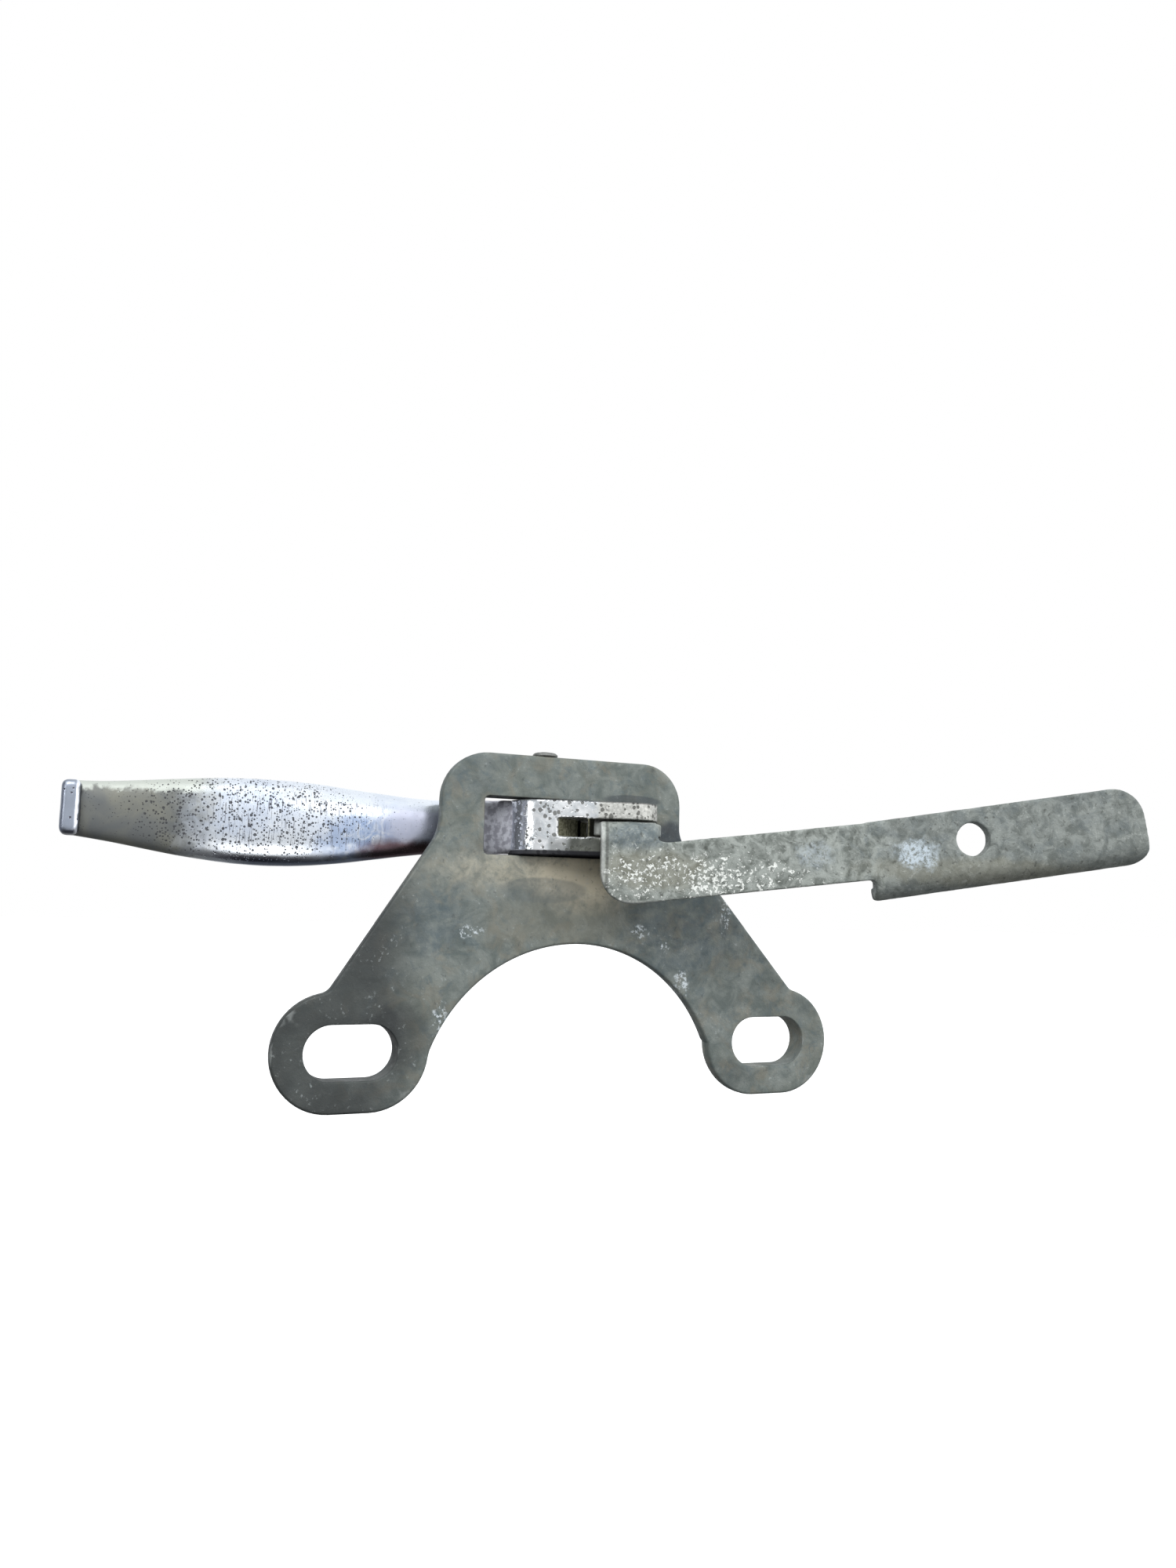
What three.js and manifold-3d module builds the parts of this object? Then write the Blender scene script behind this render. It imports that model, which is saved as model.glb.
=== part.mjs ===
// Toggle latch: a slotted mounting plate, a hand lever that turns on an upright pin in the
// plate's window, and a draw link pinned in the lever's fork.
// Millimetres. X along the plate, Y away from the viewer's side, +Z up.
// Origin: on the plate's rear (mounting) face, in the bridge between window and relief.
import * as THREE from 'three';
import { mergeVertices } from 'three/addons/utils/BufferGeometryUtils.js';
import Module from 'manifold-3d';

const wasm = await Module();
wasm.setup();

// ---- mounting plate ----
const plateThickness = 4.75;
const slotLineZ = -25;            // height of the two mounting slots' centre line
const slotSpacing = 78.6;
const slotWidth = 9.0;
const slotLength = 15.4;
const earRadius = 9.7;
const earFlat = 6.4;              // straight length of each ear between its round ends
const reliefRadius = 28.2;        // round cut-out between the ears
const reliefDrop = 10.4;          // its centre, below the slot line
const blockLeft = -25.7;          // sides and top of the upper block
const blockRight = 20.0;
const blockTop = 25.8;
const blockLeftRadius = 8.4;
const blockRightRadius = 7.6;
const shoulderLeftZ = 11.8;       // where each sloping flank leaves the block's side
const shoulderRightZ = 12.4;
const shoulderLeftRadius = 9;
const shoulderRightRadius = 5;
const flankFootLeft = 0.9;        // where each flank meets its ear, out from the round end's centre
const flankFootRight = 1.85;
const flankFillet = 2.5;
const windowLeft = -18.0;
const windowBottom = 8.1;
const windowTop = 18.2;
const windowRadius = 0.8;

// ---- pins ----
const pinRadius = 1.5;
const pinClearance = 0.07;        // radial, in every bore
const pinFacets = 40;
const pivotX = -6.3;
const pivotY = -plateThickness / 2;
const pivotDepth = 8;             // how far the pivot pin runs into the bridge
const pivotHeadRadius = 2.3;
const pivotHeadHeight = 1.0;
const headSeatGap = 0.05;
const linkPinX = 7.94;
const linkPinY = -6.75;
const linkPinInset = 0.1;         // link pin ends sit just inside the fork's faces

// ---- hand lever ----
const leverClearance = 0.3;       // above and below the lever in the window
const knuckleRadius = 6.2;
const forkNoseRadius = 5.65;
const forkSideGap = 0.35;         // above and below the link's tongue in the fork slot
const forkEndGap = 1.6;           // between the tongue's round end and the slot's floor
const runOutDeg = 14;             // where the slot's sloping run-out meets its round floor
const handleLength = 78.5;        // pivot to tip
const handleRearGap = 0.75;       // between the plate's rear face and the handle
const neckReach = 17;             // pivot to where the slim neck begins to swell
const webGap = 1.0;               // between the window's end and the neck that goes behind it
const rootThickness = 9.0;        // of the handle where it leaves the knuckle
const rootForward = 1.2;          // the root's middle, behind the pivot's line
const neckHalfHeight = 4.8;
const tipHalfHeight = 4.3;
const bellyHalfHeight = 7.3;
const neckThickness = 5.6;
const bellyThickness = 7.0;
const tipThickness = 4.6;
const handleSag = 0.95;           // the handle's middle lies this far below the knuckle's
const sagFlatness = 0.8;          // below 1 spreads the sag along the handle
const swellSharpness = 1.6;       // above 1 gathers the swell at the handle's middle
const sectionSquareY = 0.8;       // below 1 squares off the handle's oval section
const sectionSquareZ = 0.72;
const rootReach = 3;              // the handle's first section, inside the knuckle
const tipOverlap = 0.6;           // the handle's last section, inside the lip
const lipWidth = 3.1;
const lipForward = 1.8;           // how far the lip at the tip stands out in front
const lipDrop = 0.2;              // the lip's middle below the lever's
const lipCorner = 1.6;
const lipRidge = 0.6;             // corner radius on the lip's inner side

// ---- draw link ----
const linkThickness = 2.5;
const linkRestDeg = 20;           // swung out from the plate at rest
const noseGap = 0.65;             // between the fork's nose and the link's rear face
const tongueRadius = 6.4;
const tongueHalfWidth = 5.0;
const tongueBendRadius = 3.3;     // outer
const linkBoreClearance = 0.1;
const armHeight = 10.05;
const armRiseDeg = 7;
const armFootZ = 0.2;             // the arm's lower edge, extended to below the pin
const heelRadius = 5.5;
const throatRadius = 1.6;
const bladeStart = 42.4;          // along the link, from the pin
const bladeEnd = 91.7;
const bladeHeight = 14.0;
const bladeRiseDeg = 9.2;
const bladeMidZ = 11.25;          // middle of the blade's height at its free hole
const bladeTopRadius = 5.5;
const bladeLowRadius = 3.0;
const flangeBendRadius = 3.8;     // outer
const flangeDepth = 4.4;
const rodHoleRadius = 2.9;
const rodHoleReach = 60.6;        // pin to free hole, along X
const rodHoleRise = 1.5;          // above the blade's middle

// ---- window ----
const windowEndGap = 0.66;        // between the window's right end and the tongue's round end
const windowRight = linkPinX + tongueRadius + windowEndGap;

// ---- helpers ----
const rad = THREE.MathUtils.degToRad;

function toSolid(geometry) {
  const bare = geometry.clone();
  bare.deleteAttribute('normal');
  bare.deleteAttribute('uv');
  const merged = mergeVertices(bare, 1e-5);
  return new wasm.Manifold(new wasm.Mesh({
    numProp: 3,
    vertProperties: new Float32Array(merged.attributes.position.array),
    triVerts: new Uint32Array(merged.index.array),
  }));
}

function toMesh(name, solid, material) {
  const cut = solid.getMesh();
  const geometry = new THREE.BufferGeometry();
  geometry.setAttribute('position', new THREE.BufferAttribute(cut.vertProperties, 3));
  geometry.setIndex(new THREE.BufferAttribute(cut.triVerts, 1));
  const flat = geometry.toNonIndexed();
  flat.computeVertexNormals();
  const mesh = new THREE.Mesh(flat, material);
  mesh.name = name;
  return mesh;
}

// A closed shape with a round corner at each [x, y, radius] point.
function roundedShape(corners, steps = 8) {
  const points = [];
  corners.forEach(([x, y, radius], i) => {
    const here = new THREE.Vector2(x, y);
    if (!radius) {
      points.push(here);
      return;
    }
    const before = corners[(i + corners.length - 1) % corners.length];
    const after = corners[(i + 1) % corners.length];
    const back = new THREE.Vector2(before[0] - x, before[1] - y).normalize();
    const ahead = new THREE.Vector2(after[0] - x, after[1] - y).normalize();
    const half = Math.acos(THREE.MathUtils.clamp(back.dot(ahead), -1, 1)) / 2;
    const middle = back.clone().add(ahead).normalize();
    const centre = here.clone().addScaledVector(middle, radius / Math.sin(half));
    const start = here.clone().addScaledVector(back, radius / Math.tan(half)).sub(centre).angle();
    const end = here.clone().addScaledVector(ahead, radius / Math.tan(half)).sub(centre).angle();
    let turn = end - start;
    if (turn > Math.PI) turn -= 2 * Math.PI;
    if (turn < -Math.PI) turn += 2 * Math.PI;
    for (let k = 0; k <= steps; k += 1) {
      const angle = start + (turn * k) / steps;
      points.push(new THREE.Vector2(
        centre.x + radius * Math.cos(angle), centre.y + radius * Math.sin(angle)));
    }
  });
  return new THREE.Shape(points);
}

// Prisms of an outline: drawn in X-Z and running along Y, or drawn in X-Y and running along Z.
function prismAlongY(shape, yLow, yHigh, steps = 24) {
  const geometry = new THREE.ExtrudeGeometry(shape,
    { depth: yHigh - yLow, bevelEnabled: false, curveSegments: steps });
  geometry.rotateX(Math.PI / 2);
  geometry.translate(0, yHigh, 0);
  return toSolid(geometry);
}

function prismAlongZ(shape, zLow, zHigh, steps = 24) {
  const geometry = new THREE.ExtrudeGeometry(shape,
    { depth: zHigh - zLow, bevelEnabled: false, curveSegments: steps });
  geometry.translate(0, 0, zLow);
  return toSolid(geometry);
}

function discShape(x, y, radius) {
  const shape = new THREE.Shape();
  shape.absarc(x, y, radius, 0, 2 * Math.PI, false);
  return shape;
}

function rodAlongZ(x, y, radius, zLow, zHigh, facets = pinFacets) {
  const geometry = new THREE.CylinderGeometry(radius, radius, zHigh - zLow, facets);
  geometry.rotateX(Math.PI / 2);
  geometry.translate(x, y, (zLow + zHigh) / 2);
  return toSolid(geometry);
}

// ---- mounting plate ----
function earSolid(side) {
  const x = side * slotSpacing / 2;
  const half = earFlat / 2 + earRadius;
  const low = slotLineZ - earRadius;
  const high = slotLineZ + earRadius;
  return prismAlongY(roundedShape([
    [x - half, low, earRadius], [x + half, low, earRadius],
    [x + half, high, earRadius], [x - half, high, earRadius],
  ], 14), -plateThickness, 0);
}

// The block, its two flanks and the fillets where the flanks run into the ears' round ends.
function bodyOutline() {
  const endCentre = slotSpacing / 2 + earFlat / 2;
  const foot = (side, out) => [
    side * (endCentre + out), slotLineZ + Math.sqrt(earRadius ** 2 - out ** 2)];
  const inner = slotSpacing / 2 - earFlat / 2 - earRadius / 2;
  const [leftX, leftZ] = foot(-1, flankFootLeft);
  const [rightX, rightZ] = foot(1, flankFootRight);
  return roundedShape([
    [-inner, slotLineZ, 0], [inner, slotLineZ, 0],
    [rightX - flankFootRight, slotLineZ, 0], [rightX, rightZ, 0],
    [blockRight, shoulderRightZ, shoulderRightRadius], [blockRight, blockTop, blockRightRadius],
    [blockLeft, blockTop, blockLeftRadius], [blockLeft, shoulderLeftZ, shoulderLeftRadius],
    [leftX, leftZ, 0], [leftX + flankFootLeft, slotLineZ, 0],
  ], 12);
}

// Small web that fills the corner between a flank and its ear with a hollow fillet.
function footFillet(side, out, shoulderX, shoulderZ) {
  const endX = side * (slotSpacing / 2 + earFlat / 2);
  const footX = endX + side * out;
  const footZ = slotLineZ + Math.sqrt(earRadius ** 2 - out ** 2);
  const flank = new THREE.Vector2(shoulderX - footX, shoulderZ - footZ).normalize();
  const away = new THREE.Vector2(-flank.y, flank.x);
  if (away.x * side < 0) away.negate();
  const offset = new THREE.Vector2(endX - footX, slotLineZ - footZ)
    .addScaledVector(away, -flankFillet);
  // the fillet's centre: flankFillet off the flank, and outside the ear's round end
  const along = offset.dot(flank);
  const across = offset.dot(away);
  const run = Math.sqrt((earRadius + flankFillet) ** 2 - across ** 2);
  const reach = along + run;
  const centre = new THREE.Vector2(footX, footZ)
    .addScaledVector(away, flankFillet).addScaledVector(flank, reach);
  const onFlank = centre.clone().addScaledVector(away, -flankFillet);
  const towardEar = new THREE.Vector2(endX, slotLineZ).sub(centre).normalize();
  const onEar = centre.clone().addScaledVector(towardEar, flankFillet);
  const inward = new THREE.Vector2(endX, slotLineZ).lerp(new THREE.Vector2(footX, footZ), 0.7);
  const web = prismAlongY(new THREE.Shape([onFlank, onEar, inward]), -plateThickness, 0);
  const hollow = prismAlongY(discShape(centre.x, centre.y, flankFillet), -plateThickness - 1, 1);
  return web.subtract(hollow);
}

function mountingPlate() {
  let plate = prismAlongY(bodyOutline(), -plateThickness, 0);
  plate = plate.subtract(prismAlongY(
    discShape(0, slotLineZ - reliefDrop, reliefRadius), -plateThickness - 1, 1, 64));
  for (const side of [-1, 1]) {
    plate = plate.add(earSolid(side));
  }
  plate = plate.add(footFillet(-1, flankFootLeft, blockLeft, shoulderLeftZ));
  plate = plate.add(footFillet(1, flankFootRight, blockRight, shoulderRightZ));
  for (const side of [-1, 1]) {
    const x = side * slotSpacing / 2;
    const half = slotLength / 2;
    const low = slotLineZ - slotWidth / 2;
    const high = slotLineZ + slotWidth / 2;
    plate = plate.subtract(prismAlongY(roundedShape([
      [x - half, low, slotWidth / 2], [x + half, low, slotWidth / 2],
      [x + half, high, slotWidth / 2], [x - half, high, slotWidth / 2],
    ], 12), -plateThickness - 1, 1));
  }
  plate = plate.subtract(prismAlongY(roundedShape([
    [windowLeft, windowBottom, windowRadius], [windowRight, windowBottom, windowRadius],
    [windowRight, windowTop, windowRadius], [windowLeft, windowTop, windowRadius],
  ], 4), -plateThickness - 1, 1));
  return plate.subtract(rodAlongZ(pivotX, pivotY, pinRadius + pinClearance,
    windowBottom - pivotDepth - leverClearance, blockTop + 1));
}

function pivotPin() {
  const shankLow = windowBottom - pivotDepth;
  const seat = blockTop + headSeatGap;
  const profile = [[0, shankLow], [pinRadius, shankLow], [pinRadius, seat], [pivotHeadRadius, seat]];
  const crownSteps = 5;
  for (let k = 1; k <= crownSteps; k += 1) {
    const angle = (k / crownSteps) * (Math.PI / 2);
    profile.push([pivotHeadRadius * Math.cos(angle) ** 0.6, seat + pivotHeadHeight * Math.sin(angle)]);
  }
  profile[profile.length - 1][0] = 0;
  const geometry = new THREE.LatheGeometry(profile.map(([r, z]) => new THREE.Vector2(r, z)), pinFacets);
  geometry.rotateX(Math.PI / 2);
  geometry.translate(pivotX, pivotY, 0);
  return toSolid(geometry);
}

// ---- hand lever ----
const leverLow = windowBottom + leverClearance;
const leverHigh = windowTop - leverClearance;
const leverMid = (leverLow + leverHigh) / 2;

// Plan outline of the fork bar: two discs, at the pivot and the link pin, joined by tangents.
function forkBarShape() {
  const from = new THREE.Vector2(pivotX, pivotY);
  const to = new THREE.Vector2(linkPinX, linkPinY);
  const heading = to.clone().sub(from).angle();
  const lean = Math.acos((knuckleRadius - forkNoseRadius) / from.distanceTo(to));
  const shape = new THREE.Shape();
  shape.absarc(to.x, to.y, forkNoseRadius, heading - lean, heading + lean, false);
  shape.absarc(from.x, from.y, knuckleRadius, heading + lean, heading - lean + 2 * Math.PI, false);
  return shape;
}

// Rounded section of the handle at a distance from the pivot, as a ring of points.
function handleRing(reach, count) {
  const span = THREE.MathUtils.clamp((reach - neckReach) / (handleLength - neckReach), 0, 1);
  const swell = Math.sin(Math.PI * span) ** swellSharpness;
  const lead = THREE.MathUtils.smoothstep(reach, knuckleRadius / 2, pivotX - windowLeft - webGap);
  const blend = (neck, belly, tip) => THREE.MathUtils.lerp(neck, tip, span)
    + (belly - (neck + tip) / 2) * swell;
  const halfHeight = blend(neckHalfHeight, bellyHalfHeight, tipHalfHeight);
  const restThickness = blend(neckThickness, bellyThickness, tipThickness);
  const halfThickness = THREE.MathUtils.lerp(rootThickness, restThickness, lead) / 2;
  const y = THREE.MathUtils.lerp(pivotY + rootForward, handleRearGap + restThickness / 2, lead);
  const webReach = pivotX - windowLeft;
  const beyond = THREE.MathUtils.clamp((reach - webReach) / (handleLength - webReach), 0, 1);
  const z = leverMid - handleSag * Math.sin(Math.PI * beyond) ** sagFlatness;
  const ring = [];
  for (let k = 0; k < count; k += 1) {
    const angle = (2 * Math.PI * k) / count;
    const c = Math.cos(angle);
    const s = Math.sin(angle);
    ring.push([pivotX - reach,
      y + halfThickness * Math.sign(c) * Math.abs(c) ** sectionSquareY,
      z + halfHeight * Math.sign(s) * Math.abs(s) ** sectionSquareZ]);
  }
  return ring;
}

// A closed skin through rings of equal count, with flat ends.
function loft(rings) {
  const count = rings[0].length;
  const positions = rings.flat(2);
  const index = [];
  for (let r = 0; r + 1 < rings.length; r += 1) {
    for (let k = 0; k < count; k += 1) {
      const a = r * count + k;
      const b = r * count + ((k + 1) % count);
      index.push(a, a + count, b, b, a + count, b + count);
    }
  }
  for (const [r, flip] of [[0, false], [rings.length - 1, true]]) {
    const middle = positions.length / 3;
    const sum = [0, 0, 0];
    rings[r].forEach((point) => point.forEach((value, i) => { sum[i] += value / count; }));
    positions.push(...sum);
    for (let k = 0; k < count; k += 1) {
      const a = r * count + k;
      const b = r * count + ((k + 1) % count);
      index.push(...(flip ? [middle, b, a] : [middle, a, b]));
    }
  }
  const geometry = new THREE.BufferGeometry();
  geometry.setAttribute('position', new THREE.Float32BufferAttribute(positions, 3));
  geometry.setIndex(index);
  return toSolid(geometry);
}

// The fork slot in plan: a round pocket about the link pin with a sloping run-out to the front.
function forkSlotShapes() {
  const pocketRadius = tongueRadius + forkEndGap;
  const meet = rad(runOutDeg);
  const frontY = pivotY - knuckleRadius - forkEndGap;
  const runOut = new THREE.Shape([
    new THREE.Vector2(pivotX, frontY),
    new THREE.Vector2(linkPinX + forkNoseRadius, frontY),
    new THREE.Vector2(linkPinX, linkPinY),
    new THREE.Vector2(linkPinX - pocketRadius * Math.cos(meet), linkPinY + pocketRadius * Math.sin(meet)),
  ]);
  return [discShape(linkPinX, linkPinY, pocketRadius), runOut];
}

function handLever() {
  const rings = [];
  const ringCount = 34;
  const ringPoints = 28;
  for (let k = 0; k <= ringCount; k += 1) {
    const reach = THREE.MathUtils.lerp(rootReach, handleLength - tipOverlap, k / ringCount);
    rings.push(handleRing(reach, ringPoints));
  }
  let lever = loft(rings).add(prismAlongZ(forkBarShape(), leverLow, leverHigh, 20));
  const tipX = pivotX - handleLength;
  const lipLow = leverMid - lipDrop - tipHalfHeight;
  const lipHigh = leverMid - lipDrop + tipHalfHeight;
  lever = lever.add(prismAlongY(roundedShape([
    [tipX, lipLow, lipCorner], [tipX + lipWidth, lipLow, lipRidge],
    [tipX + lipWidth, lipHigh, lipRidge], [tipX, lipHigh, lipCorner],
  ], 4), handleRearGap - lipForward, handleRearGap + tipThickness));
  const slotHalf = linkThickness / 2 + forkSideGap;
  for (const shape of forkSlotShapes()) {
    lever = lever.subtract(prismAlongZ(shape, leverMid - slotHalf, leverMid + slotHalf, 36));
  }
  const bore = pinRadius + pinClearance;
  lever = lever.subtract(rodAlongZ(pivotX, pivotY, bore, leverLow - 1, leverHigh + 1));
  return lever.subtract(rodAlongZ(linkPinX, linkPinY, bore, leverLow - 1, leverHigh + 1));
}

function linkPin() {
  return rodAlongZ(linkPinX, linkPinY, pinRadius, leverLow + linkPinInset, leverHigh - linkPinInset);
}

// ---- draw link ----
// Built with its pin on the Z axis and its front face towards -Y, then swung to its rest place.
const linkFrontY = -(forkNoseRadius + noseGap + linkThickness);
const linkBackY = linkFrontY + linkThickness;
const tongueTop = leverMid + linkThickness / 2;

// A quarter bend of the sheet as a shape: drawn with the front face to the left and the
// turned-back leaf at the top, its outer corner at (0, 0).
function bendSection(outerRadius, leaf, drop) {
  const inner = outerRadius - linkThickness;
  const shape = new THREE.Shape();
  shape.moveTo(0, -drop);
  shape.lineTo(0, -outerRadius);
  shape.absarc(outerRadius, -outerRadius, outerRadius, Math.PI, Math.PI / 2, true);
  shape.lineTo(leaf, 0);
  shape.lineTo(leaf, -linkThickness);
  shape.lineTo(outerRadius, -linkThickness);
  shape.absarc(outerRadius, -outerRadius, inner, Math.PI / 2, Math.PI, false);
  shape.lineTo(linkThickness, -drop);
  return shape;
}

// The section runs along X between xLow and xHigh, its corner at (y, z), upside down if asked.
function bendAlongX(section, xLow, xHigh, y, z, flipped) {
  const geometry = new THREE.ExtrudeGeometry(section,
    { depth: xHigh - xLow, bevelEnabled: false, curveSegments: 10 });
  geometry.applyMatrix4(new THREE.Matrix4().makeBasis(
    new THREE.Vector3(0, 1, 0), new THREE.Vector3(0, 0, 1), new THREE.Vector3(1, 0, 0)));
  if (flipped) {
    geometry.rotateY(Math.PI);
    geometry.translate(xHigh - xLow, 0, 0);
  }
  geometry.translate(xLow, y, z);
  return toSolid(geometry);
}

function drawLink() {
  const armSlope = Math.tan(rad(armRiseDeg));
  const armDepth = armHeight / Math.cos(rad(armRiseDeg));
  const lower = (x) => armFootZ + armSlope * x - armSlope * tongueHalfWidth / 2;
  const upper = (x) => lower(x) + armDepth;
  const bendLine = tongueTop - tongueBendRadius;
  const armEnd = bladeStart + linkThickness;
  const w = tongueHalfWidth;
  let link = prismAlongY(roundedShape([
    [-w, lower(-w), heelRadius], [armEnd, lower(armEnd), 0], [armEnd, upper(armEnd), 0],
    [w + throatRadius, upper(w + throatRadius), throatRadius / 2],
    [w, Math.max(bendLine, upper(w)), 0], [-w, bendLine, 0],
  ], 10), linkFrontY, linkBackY);
  const leaf = -linkFrontY;
  link = link.add(bendAlongX(bendSection(tongueBendRadius, leaf, tongueBendRadius + 1),
    -w, w, linkFrontY, tongueTop, false));
  link = link.add(prismAlongZ(discShape(0, 0, tongueRadius), tongueTop - linkThickness, tongueTop, 28));

  // the blade, in its own upright frame about the rod hole's foot, then raised and set
  const rise = rad(bladeRiseDeg);
  const toStart = (bladeStart - rodHoleReach) / Math.cos(rise);
  const toEnd = (bladeEnd - rodHoleReach) / Math.cos(rise);
  const half = bladeHeight / 2;
  let blade = bendAlongX(bendSection(flangeBendRadius, flangeDepth, bladeHeight),
    toStart, toEnd, linkFrontY, -half, true);
  blade = blade.intersect(prismAlongY(roundedShape([
    [toStart, -half, 0.8], [toEnd, -half, bladeLowRadius],
    [toEnd, half, bladeTopRadius], [toStart, half, 0],
  ], 8), linkFrontY - 1, linkFrontY + flangeDepth + 1));
  blade = blade.subtract(prismAlongY(discShape(0, rodHoleRise, rodHoleRadius),
    linkFrontY - 1, linkFrontY + flangeDepth + 1, 20));
  blade = blade.rotate([0, -bladeRiseDeg, 0]).translate([rodHoleReach, 0, bladeMidZ]);
  link = link.add(blade);

  link = link.subtract(rodAlongZ(0, 0, pinRadius + linkBoreClearance, tongueTop - 10, tongueTop + 5));
  return link.rotate([0, 0, -linkRestDeg]).translate([linkPinX, linkPinY, 0]);
}

// ---- assembly ----
const zinc = new THREE.MeshStandardMaterial({ color: 0x7c827e, roughness: 0.62, metalness: 0.7 });
const bareZinc = new THREE.MeshStandardMaterial({ color: 0x85898a, roughness: 0.66, metalness: 0.7 });
const chrome = new THREE.MeshStandardMaterial({ color: 0xb4bac6, roughness: 0.2, metalness: 1.0 });
const steel = new THREE.MeshStandardMaterial({ color: 0x7d7a72, roughness: 0.5, metalness: 0.9 });

const latch = new THREE.Group();
latch.add(toMesh('mounting_plate', mountingPlate(), zinc));
latch.add(toMesh('pivot_pin', pivotPin(), steel));
latch.add(toMesh('hand_lever', handLever(), chrome));
latch.add(toMesh('link_pin', linkPin(), steel));
latch.add(toMesh('draw_link', drawLink(), bareZinc));

export default latch;
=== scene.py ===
"""Toggle latch: a dull zinc-plated mounting plate, a pitted chrome hand lever and a stamped draw link.

Lengths in the shape and material code are millimetres, which MM turns into Blender's metres.
The camera, lights and floor are placed in metres.
"""
import math

import bmesh
import bpy
from mathutils import Matrix, Vector, noise


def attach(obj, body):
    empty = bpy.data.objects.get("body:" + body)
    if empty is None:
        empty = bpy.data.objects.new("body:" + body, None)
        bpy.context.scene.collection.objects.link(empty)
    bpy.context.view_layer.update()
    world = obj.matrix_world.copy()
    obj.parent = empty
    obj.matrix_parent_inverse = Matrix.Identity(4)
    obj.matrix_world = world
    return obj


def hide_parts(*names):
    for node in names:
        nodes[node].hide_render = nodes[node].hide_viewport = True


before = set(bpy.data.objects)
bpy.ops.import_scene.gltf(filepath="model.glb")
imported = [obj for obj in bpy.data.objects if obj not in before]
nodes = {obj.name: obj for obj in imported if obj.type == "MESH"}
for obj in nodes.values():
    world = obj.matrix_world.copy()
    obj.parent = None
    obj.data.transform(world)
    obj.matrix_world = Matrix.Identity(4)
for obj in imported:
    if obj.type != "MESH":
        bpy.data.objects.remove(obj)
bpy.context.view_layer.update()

MM = 0.001

# ---- sizes shared with the CAD model, in millimetres ----
PLATE_THICKNESS = 4.75
BLOCK_TOP = 25.8
WINDOW_BOTTOM = 8.1
WINDOW_MIDDLE = -1.5
WINDOW_HALF_WIDTH = 16.5
WINDOW_HALF_HEIGHT = 5.05
PIVOT = (-6.3, -2.375)
PIVOT_DEPTH = 8           # how far the pivot pin runs into the bridge
HEAD_SEAT_GAP = 0.05
LINK_PIN = (7.94, -6.75)
LINK_PIN_INSET = 0.1      # its ends sit just inside the fork's faces
PIN_RADIUS = 1.5
PIN_CLEARANCE = 0.07
LINK_CLEARANCE = 0.1
LEVER_LOW = 8.4
LEVER_HIGH = 17.9
LEVER_MID = (LEVER_LOW + LEVER_HIGH) / 2
KNUCKLE_RADIUS = 6.2
NOSE_RADIUS = 5.65
RUN_OUT = math.radians(14)
RUN_OUT_SPARE = 1.6       # how far the slot's cutter reaches in front of the knuckle
SLOT_HALF = 1.6
TONGUE_RADIUS = 6.4
TONGUE_HALF = 1.25
HANDLE_LENGTH = 78.5      # pivot to tip; the reaches below are also measured from the pivot
HANDLE_GAP = 0.75
HANDLE_SAG = 0.95
SAG_FLATNESS = 0.8
SWELL_SHARPNESS = 1.6
ROOT_REACH = 3            # the handle's first section, inside the knuckle
ROOT_END = 10.7           # where the root has thinned to the neck
ROOT_THICKNESS = 9.0
ROOT_FORWARD = 1.2
WEB_REACH = 11.7          # the window's left end
NECK_REACH = 17           # where the neck begins to swell
NECK_THICKNESS = 5.6
NECK_HALF_HEIGHT = 4.8
BELLY_THICKNESS = 7.0
BELLY_HALF_HEIGHT = 7.3
TIP_THICKNESS = 4.6
TIP_HALF_HEIGHT = 4.3
TIP_OVERLAP = 0.6
LIP_WIDTH = 3.1
LIP_FORWARD = 1.8
LIP_DROP = 0.2
LINK_REST = math.radians(20)
BLADE_RISE = math.radians(9.2)

# ---- sizes of the visible pieces only, in millimetres ----
FORK_LOW = 8.2            # a little under the CAD's, so that no light shows below the fork
POCKET_RADIUS = 8.5       # 0.5 more than the CAD's, for the tongue's longer round end
TONGUE_SHIFT = 0.75       # how far that end is off the link pin
RUN_OUT_LEAD = 1.7        # how far the slot's run-out starts left of the pivot
DENT_SPARE = 0.22         # height added to the neck for what its dents take off
DENT_FADE = 14            # reach at which that height begins
DENT_FULL = 10            # reach at which it is all there
DENTS_FROM = -21          # X at which the neck's dents begin
DENTS_FULL = -16.5        # X at which they are deepest
SQUARE_REACH = 12         # reach at which the neck's section is fully squared
LIP_BEVEL = 1.0
LIP_RIM = 1.2             # width of the rough rim on the lip's inner side

# Below 1 these powers square off the handle's section: its front, rear and two rims.
GRIP_FRONT_POWER = 0.62
NECK_FRONT_POWER = 0.45
REAR_POWER = 0.85
GRIP_RIM_POWER = 0.78
NECK_RIM_POWER = 0.42


# ---- mesh helpers ----
def to_object(name, bm, smooth_angle=40):
    """A new object from a bmesh drawn in millimetres."""
    bmesh.ops.recalc_face_normals(bm, faces=bm.faces)
    mesh = bpy.data.meshes.new(name)
    bm.to_mesh(mesh)
    bm.free()
    mesh.transform(Matrix.Scale(MM, 4))
    mesh.shade_smooth()
    if smooth_angle < 180:
        mesh.set_sharp_from_angle(angle=math.radians(smooth_angle))
    obj = bpy.data.objects.new(name, mesh)
    bpy.context.scene.collection.objects.link(obj)
    return obj


def applied(obj):
    """Bakes the object's modifiers into its mesh."""
    graph = bpy.context.evaluated_depsgraph_get()
    mesh = bpy.data.meshes.new_from_object(obj.evaluated_get(graph))
    obj.modifiers.clear()
    obj.data = mesh


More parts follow.
